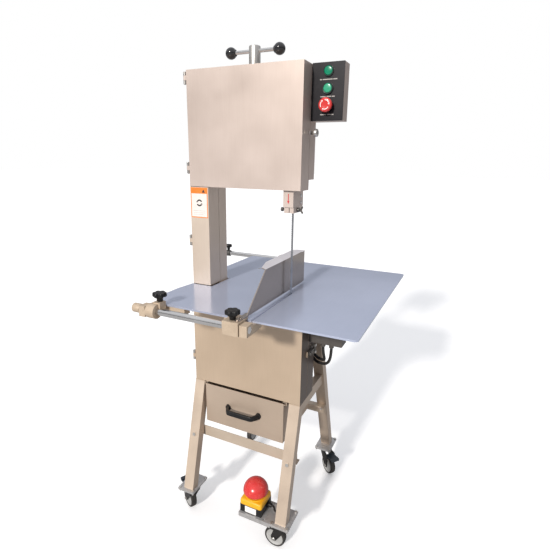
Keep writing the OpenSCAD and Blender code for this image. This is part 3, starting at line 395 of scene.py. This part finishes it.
button("start_cap", 55.5, 12, 6.5, 1516, GREEN1, "start_push", "start_button")
button("second_cap", 54, 12, 8, 1472, GREEN2, "second_push", "second_button")
lathe("panel_stop_cap", [(0, 0.9), (9, 0.4), (13.5, 0), (16.2, 0.6), (18.2, 2.4), (19, 4.6), (19, 9.4), (18.2, 10.8), (16.4, 11), (11, 11), (11, 48), (0, 48)],
      (427.5, 37, 1428), (0, 1, 0), RED, "panel_stop", ("panel_stop_button",))
for k, a0 in enumerate((20, 140, 260)):
    prism_y("panel_stop_mark_%d" % k, arc(427.5, 1428, 11.0, 13.4, a0, a0 + 70), 37.05, 37.6, WHITE, "panel_stop")
    am = math.radians(a0 - 4)
    cx, cz = 427.5 + 12.2 * math.cos(am), 1428 + 12.2 * math.sin(am)
    rad, tan = (math.cos(am), math.sin(am)), (math.sin(am), -math.cos(am))
    prism_y("panel_stop_tip_%d" % k, [(cx + rad[0] * 3.0, cz + rad[1] * 3.0), (cx - rad[0] * 3.0, cz - rad[1] * 3.0), (cx + tan[0] * 4.6, cz + tan[1] * 4.6)], 37.05, 37.6, WHITE, "panel_stop")
# rings round the buttons, and plain marks below them
for nm, z, y0, ro, mt in (("start", 1516, 57, 14.6, BEZEL), ("second", 1472, 56, 15.1, BEZEL), ("stop", 1428, 55, 16.1, BLACK)):
    lathe("ring_" + nm, [(12.3, 0.2), (ro - 1.4, -0.15), (ro, 1.0), (ro, 61 - y0), (12.3, 61 - y0)], (427.5, y0, z), (0, 1, 0), mt, "frame")
for nm, z, bars in (("start", 1494.5, ((-24, -18), (-16, 12), (14, 25))), ("second", 1451, ((-21, -6), (-3, 10), (12, 20))), ("stop", 1404.5, ((-20, -2), (1, 19)))):
    for i, (a, b) in enumerate(bars):
        prism_y("mark_%s_%d" % (nm, i), [(427.5 + a, z - 1.2), (427.5 + b, z - 1.2), (427.5 + b, z + 1.2), (427.5 + a, z + 1.2)], 60.8, 61.05, GREYINK, "frame")

# ------------------------------------------------------------------ drawer handle: bow grip swept along its path
def sweep_rect(name, path, w, h, rnd, mat, body, reps):
    """Rounded bar with its long side along Z, swept through points in the X and Y plane."""
    bm = bmesh.new()
    cx = 4
    sec = []
    for qx, qz, a0 in ((w - rnd, h - rnd, 0), (-w + rnd, h - rnd, 90), (-w + rnd, -h + rnd, 180), (w - rnd, -h + rnd, 270)):
        for i in range(cx + 1):
            a = math.radians(a0 + 90 * i / cx)
            sec.append((qx + rnd * math.cos(a), qz + rnd * math.sin(a)))
    rings = []
    for i, (x, y, z, k) in enumerate(path):
        p0 = path[max(i - 1, 0)]
        p1 = path[min(i + 1, len(path) - 1)]
        t = Vector((p1[0] - p0[0], p1[1] - p0[1], 0)).normalized()
        nrm = Vector((-t.y, t.x, 0))
        rings.append([bm.verts.new(P(x + nrm.x * a * k, y + nrm.y * a * k, z + b * k)) for a, b in sec])
    for p, q in zip(rings, rings[1:]):
        for i in range(len(sec)):
            j = (i + 1) % len(sec)
            bm.faces.new((p[i], p[j], q[j], q[i]))
    bm.faces.new(list(reversed(rings[0])))
    bm.faces.new(rings[-1])
    return add(name, bm, mat, body, reps)


def smooth_path(pts, n=8):
    out = []
    for i in range(len(pts) - 1):
        p0, p1, p2, p3 = [Vector(pts[min(max(i + d, 0), len(pts) - 1)]) for d in (-1, 0, 1, 2)]
        for j in range(n):
            t = j / n
            out.append(tuple(0.5 * ((2 * p1) + (p2 - p0) * t + (2 * p0 - 5 * p1 + 4 * p2 - p3) * t * t + (3 * p1 - p0 - 3 * p2 + p3) * t ** 3)))
    out.append(tuple(Vector(pts[-1])))
    return out


HX, HZ = 193.5, 440
path = smooth_path([(HX - 60, -5.5, HZ, 1.35), (HX - 58.5, -12, HZ, 1.12), (HX - 52, -25, HZ, 1.0), (HX - 43, -33.5, HZ, 1.0), (HX - 22, -34.6, HZ, 1.0),
                    (HX, -34.8, HZ, 1.0), (HX + 22, -34.6, HZ, 1.0), (HX + 43, -33.5, HZ, 1.0), (HX + 52, -25, HZ, 1.0), (HX + 58.5, -12, HZ, 1.12), (HX + 60, -5.5, HZ, 1.35)])
sweep_rect("drawer_grip", path, 4.6, 9.0, 3.2, BLACK, "drawer", ("drawer_handle",))
for s, nm in ((-1, "left"), (1, "right")):
    lathe("drawer_grip_foot_" + nm, [(0, 0), (8.6, 0), (9.8, 1), (10.4, 4.9), (0, 4.9)], (HX + s * 59, -10, HZ), (0, 1, 0), BLACK, "drawer", seg=40)

# ------------------------------------------------------------------ foot switch
prof = [(0, 5), (15, 5), (15, 29), (36, 29), (40.2, 29.8), (42.4, 31.8), (43, 35)]
prof += [(43 * math.cos(math.radians(t)), 36 + 41 * math.sin(math.radians(t))) for t in range(4, 88, 6)] + [(0, 77)]
lathe("foot_dome", prof, (272, -58, 156), (0, 0, 1), RED, "foot_stop", ("foot_stop_mushroom",), 72)


def rounded_loft(name, levels, cx, cy, mat, body, reps, open_hole=None):
    """Rounded-square rings: (half width, corner radius, z)."""
    bm = bmesh.new()
    rings = []
    for hw, r, z in levels:
        ring = []
        for sx, sy, a0 in ((1, 1, 0), (-1, 1, 90), (-1, -1, 180), (1, -1, 270)):
            for i in range(9):
                a = math.radians(a0 + 90 * i / 8)
                ring.append(bm.verts.new(P(cx + sx * (hw - r) + r * math.cos(a), cy + sy * (hw - r) + r * math.sin(a), z)))
        rings.append(ring)
    n = len(rings[0])
    for p, q in zip(rings, rings[1:]):
        for i in range(n):
            j = (i + 1) % n
            bm.faces.new((p[i], p[j], q[j], q[i]))
    bm.faces.new(list(reversed(rings[0])))
    bm.faces.new(rings[-1])
    o = add(name, bm, mat, body, reps)
    es = o.modifiers.new("split", "EDGE_SPLIT")
    es.split_angle = math.radians(40)
    return o


rounded_loft("foot_cover_shell", [(38.5, 7, 150), (40.6, 8, 152), (41, 8.5, 154), (41, 8.5, 163), (40.2, 9, 167.5), (38.6, 10, 170), (36.8, 12, 171.6), (36.4, 36.1, 172.4), (35.8, 35.7, 176), (33, 32.9, 176), (16, 15.9, 175.6)],
             272, -58, YELLOW, "frame", ("foot_switch_cover",))
# blank pale plate on the front of the base
prism_y("foot_plate_blank", [(251, 125.5), (293, 125.5), (293, 148.5), (251, 148.5)], -98.4, -97.45, WHITE, "frame", bevel=0.3)

# ------------------------------------------------------------------ label on the column door: plain bands and a plain sign
def label(name, x0, x1, z0, z1, y, mat, t=0.25):
    return prism_y(name, [(x0, z0), (x1, z0), (x1, z1), (x0, z1)], y - t, y + 0.02, mat, "column_door")


label("label_border", 3.6, 67.2, 1099, 1194, 0, ORANGE, 0.20)
label("label_field", 6.4, 64.4, 1102, 1175, 0, PAPER, 0.32)
label("label_line", 12, 58, 1120.6, 1121.6, 0, GREYINK, 0.40)
label("label_line_2", 12, 58, 1114.6, 1115.4, 0, GREYINK, 0.40)
label("label_line_3", 12, 50, 1109.0, 1109.8, 0, GREYINK, 0.40)
for k, a0 in enumerate((25, 205)):
    prism_y("label_arc_%d" % k, arc(36, 1146, 6.2, 11.0, a0, a0 + 118), -0.42, 0, INK, "column_door")
    am = math.radians(a0 + 124)
    cx, cz = 36 + 9 * math.cos(am), 1146 + 9 * math.sin(am)
    rad, tan = (math.cos(am), math.sin(am)), (-math.sin(am), math.cos(am))
    prism_y("label_tip_%d" % k, [(cx + rad[0] * 3.6, cz + rad[1] * 3.6), (cx - rad[0] * 3.6, cz - rad[1] * 3.6), (cx + tan[0] * 5, cz + tan[1] * 5)], -0.42, 0, INK, "column_door")
prism_y("label_sign", [(46, 1178.5), (58, 1178.5), (52, 1189)], -0.42, 0, INK, "column_door")

# ------------------------------------------------------------------ red arrow on the guard, pointing down, and screws on its side
prism_y("guard_arrow_shaft", [(337.2, 1166), (339.6, 1166), (339.6, 1187), (337.2, 1187)], 11.6, 12.02, REDINK, "guard")
prism_y("guard_arrow_head", [(334.8, 1167), (342.0, 1167), (338.4, 1157.5)], 11.55, 12.02, REDINK, "guard")
for k, z in enumerate((1160, 1180)):
    lathe("guard_screw_%d" % k, [(0, 0), (4.4, 0), (4.8, 0.4), (4.8, 1.2), (3.6, 2.6), (1.6, 3.0), (0, 3.05)], (354, 70, z), (1, 0, 0), CHROME, "guard", seg=24)

# ------------------------------------------------------------------ saw band with its teeth
def saw_band():
    bm = bmesh.new()
    r, xc, zt, zb = 149.5 + 0.5, 190.0, 1366.0, 676.0
    straight, half = zt - zb, math.pi * r
    total = 2 * straight + 2 * half
    n = int(round(total / 6.35))
    step = total / n

    def at(s):
        s = s % total
        if s < straight:
            return xc + r, zt - s, 1, 0
        s -= straight
        if s < half:
            a = -s / r
            return xc + r * math.cos(a), zb + r * math.sin(a), math.cos(a), math.sin(a)
        s -= half
        if s < straight:
            return xc - r, zb + s, -1, 0
        s -= straight
        a = math.pi - s / r
        return xc + r * math.cos(a), zt + r * math.sin(a), math.cos(a), math.sin(a)

    def station(s, y):
        x, z, nx, nz = at(s)
        return [bm.verts.new(P(x + nx * d, yy, z + nz * d)) for d in (-0.38, 0.38) for yy in (y, 40.5, 52)]

    st = []
    for i in range(n):
        st.append(station(i * step, 36.05))
        st.append(station(i * step + step * 0.30, 39.6))
        st.append(station(i * step + step * 0.62, 39.4))
    m = len(st)
    for i in range(m):
        a, b = st[i], st[(i + 1) % m]
        for q in ((0, 1), (1, 2)):
            bm.faces.new((a[q[0]], b[q[0]], b[q[1]], a[q[1]]))
            bm.faces.new((a[q[0] + 3], a[q[1] + 3], b[q[1] + 3], b[q[0] + 3]))
        bm.faces.new((a[0], a[3], b[3], b[0]))
        bm.faces.new((a[2], b[2], b[5], a[5]))
    o = add("saw_band", bm, BLADE, "frame", ("saw_blade",))
    es = o.modifiers.new("split", "EDGE_SPLIT")
    es.split_angle = math.radians(30)


saw_band()

# ------------------------------------------------------------------ casters: tread, hub, axle nut
CAST_AT = {"fl": (10, -62, 150), "fr": (381, -62, 180), "rl": (10, 376, 90), "rr": (381, 376, -40)}
for c, (cx, cy, a) in CAST_AT.items():
    r = math.radians(a)
    ca, sa = math.cos(r), math.sin(r)
    ctr = (cx + 30 * ca, cy + 30 * sa, 37.5)
    ax = (-sa, ca, 0)
    tread = [(30.6, -10.2), (34.5, -10.8), (36.4, -9.6), (37.2, -7.4), (37.5, -4), (37.5, 4), (37.2, 7.4), (36.4, 9.6), (34.5, 10.8), (30.6, 10.2), (30.2, 0), (30.6, -10.2)]
    lathe("caster_tread_" + c, tread, ctr, ax, TREAD, "wheel_" + c, ("caster_wheel_" + c,), 72)
    hub = [(4.1, -13.2), (9.5, -13.2), (10.8, -12.2), (11.2, -9.6), (14, -8.2), (24.5, -7.6), (27.6, -9.4), (30.5, -10), (30.5, 10), (27.6, 9.4), (24.5, 7.6), (14, 8.2), (11.2, 9.6), (10.8, 12.2), (9.5, 13.2), (4.1, 13.2), (4.1, -13.2)]
    lathe("caster_hub_" + c, hub, ctr, ax, HUB, "wheel_" + c, seg=64)
    # axle heads on the fork
    for s, nm in ((-1, "a"), (1, "b")):
        bx = (ctr[0] + ax[0] * 17 * s, ctr[1] + ax[1] * 17 * s, ctr[2])
        lathe("axle_nut_%s_%s" % (c, nm), [(0, 0), (6.2, 0), (6.2, 3.2), (5.4, 4.0), (3.6, 4.2), (3.6, 5.4), (0, 5.6)], bx, (ax[0] * s, ax[1] * s, 0), SATIN, "caster_" + c, seg=24)

# ------------------------------------------------------------------ small trim: one flush screw in the table
lathe("table_screw", [(0, 0), (5.2, 0), (5.2, 0.35), (4.8, 0.5), (1.8, 0.5), (1.7, 0.2), (0, 0.2)], (107, 283, 875), (0, 0, 1), CHROME, "frame", seg=32)

# ------------------------------------------------------------------ wing bolt of the guide block
lathe("wing_hub", [(0, 0), (4, 0), (4, 5.2), (6.4, 5.2), (7, 6.2), (6.7, 10.6), (5, 12.4), (0, 12.9)], (349, 46, 1139), (1, 0, 0), DARKSTEEL, "wing_bolt", ("guide_wing_bolt",), 40)
prism_y("wing_ears", [(359.5, 1134.2), (364, 1134.6), (368.6, 1127.7), (371.2, 1128.2), (371.9, 1132.6), (367.6, 1137.6), (366.2, 1139), (367.6, 1140.4), (371.9, 1145.4), (371.2, 1149.8), (368.6, 1150.3), (364, 1143.4), (359.5, 1143.8)],
        44.2, 47.8, DARKSTEEL, "wing_bolt", bevel=0.8)

# ------------------------------------------------------------------ knob of the head door's latch, with its nut, neck and inner cam
lathe("latch_stem", [(0, 0), (5.05, 0), (5.05, 14.4), (0, 14.4)], (366, 52, 1356), (1, 0, 0), SATIN, "door_latch", ("door_latch_knob",), 32)
lathe("latch_nut", [(0, 0), (6.6, 0), (7, 0.5), (7, 4.4), (6.4, 5.0), (0, 5.0)], (380.5, 52, 1356), (1, 0, 0), CHROME, "door_latch", seg=6)
lathe("latch_neck", [(0, 0), (4.6, 0), (4.6, 4.6), (6.6, 8.6), (0, 8.6)], (385.4, 52, 1356), (1, 0, 0), DARKSTEEL, "door_latch", seg=40)
lathe("latch_knob", [(0, 0), (8.8, 0), (10.4, 0.8), (11, 2.4), (11, 9.4), (10.2, 11.3), (8.6, 12.0), (0, 12.0)], (393.9, 52, 1356), (1, 0, 0), SATIN, "door_latch", seg=56)
add("latch_cam", box_bm(367.1, 370.9, 48.1, 55.9, 1352.1, 1383.9), SATIN, "door_latch", bevel=0.8, smooth=False)


# ------------------------------------------------------------------ round rods swept through points: latch wire and leads
def tube(name, pts, r, mat, body, reps=(), seg=20, closed=False):
    bm = bmesh.new()
    pts = [Vector(p) for p in pts]
    n = len(pts)
    rings = []
    u = None
    for i, p in enumerate(pts):
        a = pts[(i - 1) % n] if closed else pts[max(i - 1, 0)]
        b = pts[(i + 1) % n] if closed else pts[min(i + 1, n - 1)]
        t = (b - a).normalized()
        if u is None:
            u = t.cross(Vector((0, 0, 1)))
            if u.length < 0.2:
                u = t.cross(Vector((1, 0, 0)))
        u = (u - t * u.dot(t)).normalized()
        v = t.cross(u)
        rings.append([bm.verts.new(P(*(p + (u * math.cos(2 * math.pi * k / seg) + v * math.sin(2 * math.pi * k / seg)) * r))) for k in range(seg)])
    for i in range(n if closed else n - 1):
        p, q = rings[i], rings[(i + 1) % n]
        for k in range(seg):
            j = (k + 1) % seg
            bm.faces.new((p[k], p[j], q[j], q[k]))
    if not closed:
        bm.faces.new(list(reversed(rings[0])))
        bm.faces.new(rings[-1])
    return add(name, bm, mat, body, reps)


def bezier(p, n=14, skip=0):
    out = []
    for i in range(skip, n + 1):
        t = i / n
        k = ((1 - t) ** 3, 3 * (1 - t) ** 2 * t, 3 * (1 - t) * t * t, t ** 3)
        out.append(tuple(sum(k[j] * p[j][d] for j in range(4)) for d in range(3)))
    return out


def loop_yz(x, y0, y1, z0, z1, r, n=6):
    out = []
    for cy, cz, a0 in ((y1 - r, z1 - r, 0), (y0 + r, z1 - r, 90), (y0 + r, z0 + r, 180), (y1 - r, z0 + r, 270)):
        for i in range(n + 1):
            a = math.radians(a0 + 90 * i / n)
            out.append((x, cy + r * math.cos(a), cz + r * math.sin(a)))
    return out


tube("latch_wire", loop_yz(404, 43.9, 93.6, 676.3, 685.7, 3.6), 1.25, DARKSTEEL, "side_latch", ("toggle_latch",), 12, True)
lathe("latch_hub", [(2.6, 0), (4.4, 0), (4.5, 0.5), (4.5, 15.5), (4.4, 16), (2.6, 16)], (409, 98, 673), (0, 0, 1), DARKSTEEL, "side_latch", seg=36)
add("latch_lever", box_bm(407.1, 409.4, 52, 96, 677.4, 684.6), DARKSTEEL, "side_latch", bevel=0.8, smooth=False)
add("latch_lip", box_bm(408.6, 413.6, 46, 54, 676.4, 685.6), DARKSTEEL, "side_latch", bevel=1.2, smooth=False)
add("latch_link", box_bm(402.8, 408, 92.3, 94.8, 675.6, 686.4), DARKSTEEL, "side_latch", bevel=0.6, smooth=False)
WL = 676.0
lead_a = [(440, 89, 718), (440, 89, 708)] + bezier([(440, 89, 699), (440, 89, 655), (444, 142, WL - 57), (408, 150, WL - 54)]) + bezier([(408, 150, WL - 54), (372, 158, WL - 51), (335, 214, WL + 14), (294, 214, WL + 14)], skip=1) + [(286, 214, WL + 14), (278, 214, WL + 14)]
lead_b = [(468, 89, 718), (468, 89, 708)] + bezier([(468, 89, 699), (468, 89, 650), (447.6, 137.2, WL - 69.7), (408, 146, WL - 68)]) + bezier([(408, 146, WL - 68), (372, 154, WL - 66.5), (335, 214, WL - 14), (294, 214, WL - 14)], skip=1) + [(286, 214, WL - 14), (278, 214, WL - 14)]
lead_c = [(309, -46, 137), (320, -46, 137)] + bezier([(328, -46, 137), (345, -46, 137), (340, -72, 144), (363, -72, 144)])
tube("lead_upper", lead_a, 4.85, RUBBER, "frame", ("power_leads",))
tube("lead_lower", lead_b, 4.85, RUBBER, "frame")
tube("lead_foot", lead_c, 3.35, RUBBER, "frame")

# ------------------------------------------------------------------ floor, light, camera
bm = bmesh.new()
s = 40.0
for x, y in ((-s, -s), (s, -s), (s, s), (-s, s)):
    bm.verts.new((x, y, -0.0005))
bm.verts.ensure_lookup_table()
bm.faces.new(bm.verts[:])
me = bpy.data.meshes.new("floor")
bm.to_mesh(me)
bm.free()
floor = bpy.data.objects.new("floor", me)
scene.collection.objects.link(floor)
fm = bpy.data.materials.new("floor_pale")
fm.use_nodes = True
fb = fm.node_tree.nodes["Principled BSDF"]
# pale to the eye, but returning less light to the sides of the machine
ft = fm.node_tree
fpath = node(ft, "ShaderNodeLightPath")
fmix = node(ft, "ShaderNodeMix", data_type="RGBA")
fmix.inputs[6].default_value = (0.50, 0.50, 0.505, 1)
fmix.inputs[7].default_value = (0.97, 0.97, 0.975, 1)
ft.links.new(fpath.outputs["Is Camera Ray"], fmix.inputs[0])
ft.links.new(fmix.outputs[2], fb.inputs["Base Color"])
femit = node(ft, "ShaderNodeMix", data_type="RGBA")
femit.inputs[6].default_value = (0.0, 0.0, 0.0, 1)
femit.inputs[7].default_value = (1.0, 1.0, 1.0, 1)
ft.links.new(fpath.outputs["Is Camera Ray"], femit.inputs[0])
ft.links.new(femit.outputs[2], fb.inputs["Emission Color"])
fb.inputs["Emission Strength"].default_value = 0.22
fb.inputs["Roughness"].default_value = 0.9
fb.inputs["Specular IOR Level"].default_value = 0.1
me.materials.append(fm)

world = bpy.data.worlds.new("studio")
scene.world = world
world.use_nodes = True
# soft surround: bright overhead, darker towards the horizon; plain white behind the machine
wt = world.node_tree
wt.nodes.clear()
wout = node(wt, "ShaderNodeOutputWorld")
wmix = node(wt, "ShaderNodeMixShader")
wpath = node(wt, "ShaderNodeLightPath")
wfill = node(wt, "ShaderNodeBackground")
wback = node(wt, "ShaderNodeBackground")
wback.inputs[0].default_value = (1.0, 1.0, 1.0, 1)
wback.inputs[1].default_value = 1.0
wtc = node(wt, "ShaderNodeTexCoord")
wsep = node(wt, "ShaderNodeSeparateXYZ")
wmap = node(wt, "ShaderNodeMapRange")
wmap.inputs[1].default_value = -1.0
wmap.inputs[2].default_value = 1.0
wramp = node(wt, "ShaderNodeValToRGB")
els = wramp.color_ramp.elements
els[0].position, els[0].color = 0.0, (0.30, 0.30, 0.31, 1)
els[1].position, els[1].color = 1.0, (0.80, 0.82, 0.86, 1)
for pos, v in ((0.48, 0.13), (0.56, 0.18), (0.68, 0.44), (0.82, 0.72)):
    e = els.new(pos)
    e.color = (v, v * 1.01, v * 1.05, 1)
wt.links.new(wtc.outputs["Generated"], wsep.inputs[0])
wt.links.new(wsep.outputs[2], wmap.inputs[0])
wt.links.new(wmap.outputs[0], wramp.inputs[0])
wt.links.new(wramp.outputs[0], wfill.inputs[0])
wfill.inputs[1].default_value = 0.95
wt.links.new(wpath.outputs["Is Camera Ray"], wmix.inputs[0])
wt.links.new(wfill.outputs[0], wmix.inputs[1])
wt.links.new(wback.outputs[0], wmix.inputs[2])
wt.links.new(wmix.outputs[0], wout.inputs[0])

sun_data = bpy.data.lights.new("key", "SUN")
sun_data.energy = 2.95
sun_data.angle = math.radians(5)
sun_data.color = (1.0, 0.955, 0.90)
sun = bpy.data.objects.new("key", sun_data)
scene.collection.objects.link(sun)
sun.rotation_mode = "QUATERNION"
sun.rotation_quaternion = Vector((0.10, 1.0, -0.464)).to_track_quat("-Z", "Y")

cam_data = bpy.data.cameras.new("camera")
cam_data.sensor_width = 36
cam_data.lens = 27.58
cam_data.clip_start = 0.05
cam_data.clip_end = 200
cam = bpy.data.objects.new("camera", cam_data)
scene.collection.objects.link(cam)
yaw, pitch, roll = 0.43624, -0.26576, 0.01502
fwd = Vector((-math.sin(yaw) * math.cos(pitch), math.cos(yaw) * math.cos(pitch), math.sin(pitch)))
right = Vector((math.cos(yaw), math.sin(yaw), 0))
up = right.cross(fwd)
cr, sr_ = math.cos(roll), math.sin(roll)
r2 = right * cr + up * sr_
u2 = -right * sr_ + up * cr
m3 = Matrix((r2, u2, -fwd)).transposed()
cam.matrix_world = Matrix.Translation(P(828.6, -1123.4, 1280.2)) @ m3.to_4x4()
scene.camera = cam

bpy.context.view_layer.update()
